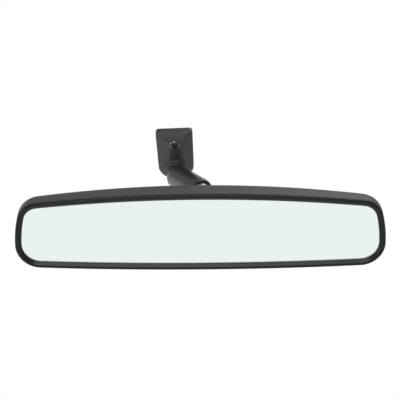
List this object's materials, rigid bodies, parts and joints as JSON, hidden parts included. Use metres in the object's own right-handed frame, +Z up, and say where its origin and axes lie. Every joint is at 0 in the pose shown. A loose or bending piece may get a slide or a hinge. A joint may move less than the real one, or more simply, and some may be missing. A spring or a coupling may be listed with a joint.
{
  "type": "interior rearview mirror",
  "caption": "Wide flat interior rearview mirror in a black case, held by a ball-jointed arm on a windshield button bracket.",
  "frame": {"origin": "middle of the button channel's mouth in the bracket's back face, the face that sits on the windshield", "axes": "+X along the mirror head, to the right of someone who looks into it; +Z up; the glass faces -Y and the windshield is behind, at +Y"},
  "size_m": [0.2626, 0.0946, 0.0748],
  "materials": {
    "bracket_paint": "satin black paint",
    "screw_black": "black oxide",
    "stud_black": "black phosphate",
    "ball_steel": "polished and greased",
    "seat_nylon": "moulded natural nylon",
    "zinc_plate": "bright zinc plate",
    "spring_steel": "oiled spring wire",
    "tube_paint": "semi-gloss black paint",
    "black_rubber": "matt",
    "plate_steel": "pressed steel",
    "housing_plastic": "fine-grained black",
    "bezel_plastic": "satin black",
    "silvered_glass": "polished",
    "grey_film": "matt",
    "grey_foam": "closed-cell foam",
    "carrier_plastic": "moulded black"
  },
  "bodies": {
    "mount": {"mount_bracket": "bracket_paint", "mounting_screw": "screw_black", "upper_stud": "stud_black"},
    "upper_ball_link": {"upper_ball": "ball_steel"},
    "upper_seat_link": {"upper_ball_seat": "seat_nylon", "upper_spring_washer": "zinc_plate", "arm_spring": "spring_steel"},
    "arm": {"arm_tube": "tube_paint"},
    "lower_seat_link": {"lower_ball_seat": "seat_nylon", "lower_spring_washer": "zinc_plate"},
    "lower_ball_link": {"lower_ball": "ball_steel"},
    "head": {"lower_stud": "stud_black", "stud_gasket": "black_rubber", "stud_lock_washer": "zinc_plate", "stud_nut": "zinc_plate", "reinforcement_plate": "plate_steel", "plate_screws": "zinc_plate", "rear_housing": "housing_plastic", "front_bezel": "bezel_plastic", "glass_gasket": "black_rubber", "mirror_glass": "silvered_glass", "backing_film": "grey_film", "foam_pad": "grey_foam", "glass_carrier": "carrier_plastic", "anti_rattle_pads": "grey_foam"}
  },
  "joints": [
    {"name": "arm_pan", "type": "hinge", "parent": "mount", "child": "upper_ball_link", "pos_m": [0.00268, -0.02026, -0.01265], "axis": [0, 0, 1], "range_deg": [-40, 10]},
    {"name": "arm_tilt", "type": "hinge", "parent": "upper_ball_link", "child": "upper_seat_link", "pos_m": [0.00268, -0.02026, -0.01265], "axis": [0.9026, 0.4305, 0], "range_deg": [-5, 38]},
    {"name": "tube_spin", "type": "hinge", "parent": "upper_seat_link", "child": "arm", "pos_m": [0.00268, -0.02026, -0.01265], "axis": [0.4263, -0.8938, 0.1392], "continuous": true},
    {"name": "head_roll", "type": "hinge", "parent": "upper_seat_link", "child": "lower_seat_link", "pos_m": [0.01803, -0.05244, -0.00764], "axis": [0.4263, -0.8938, 0.1392], "range_deg": [-15, 15]},
    {"name": "head_tilt", "type": "hinge", "parent": "lower_seat_link", "child": "lower_ball_link", "pos_m": [0.01803, -0.05244, -0.00764], "axis": [1, 0, 0], "range_deg": [-28, 12]},
    {"name": "head_pan", "type": "hinge", "parent": "lower_ball_link", "child": "head", "pos_m": [0.01803, -0.05244, -0.00764], "axis": [0, 0, 1], "range_deg": [-6, 40]}
  ]
}
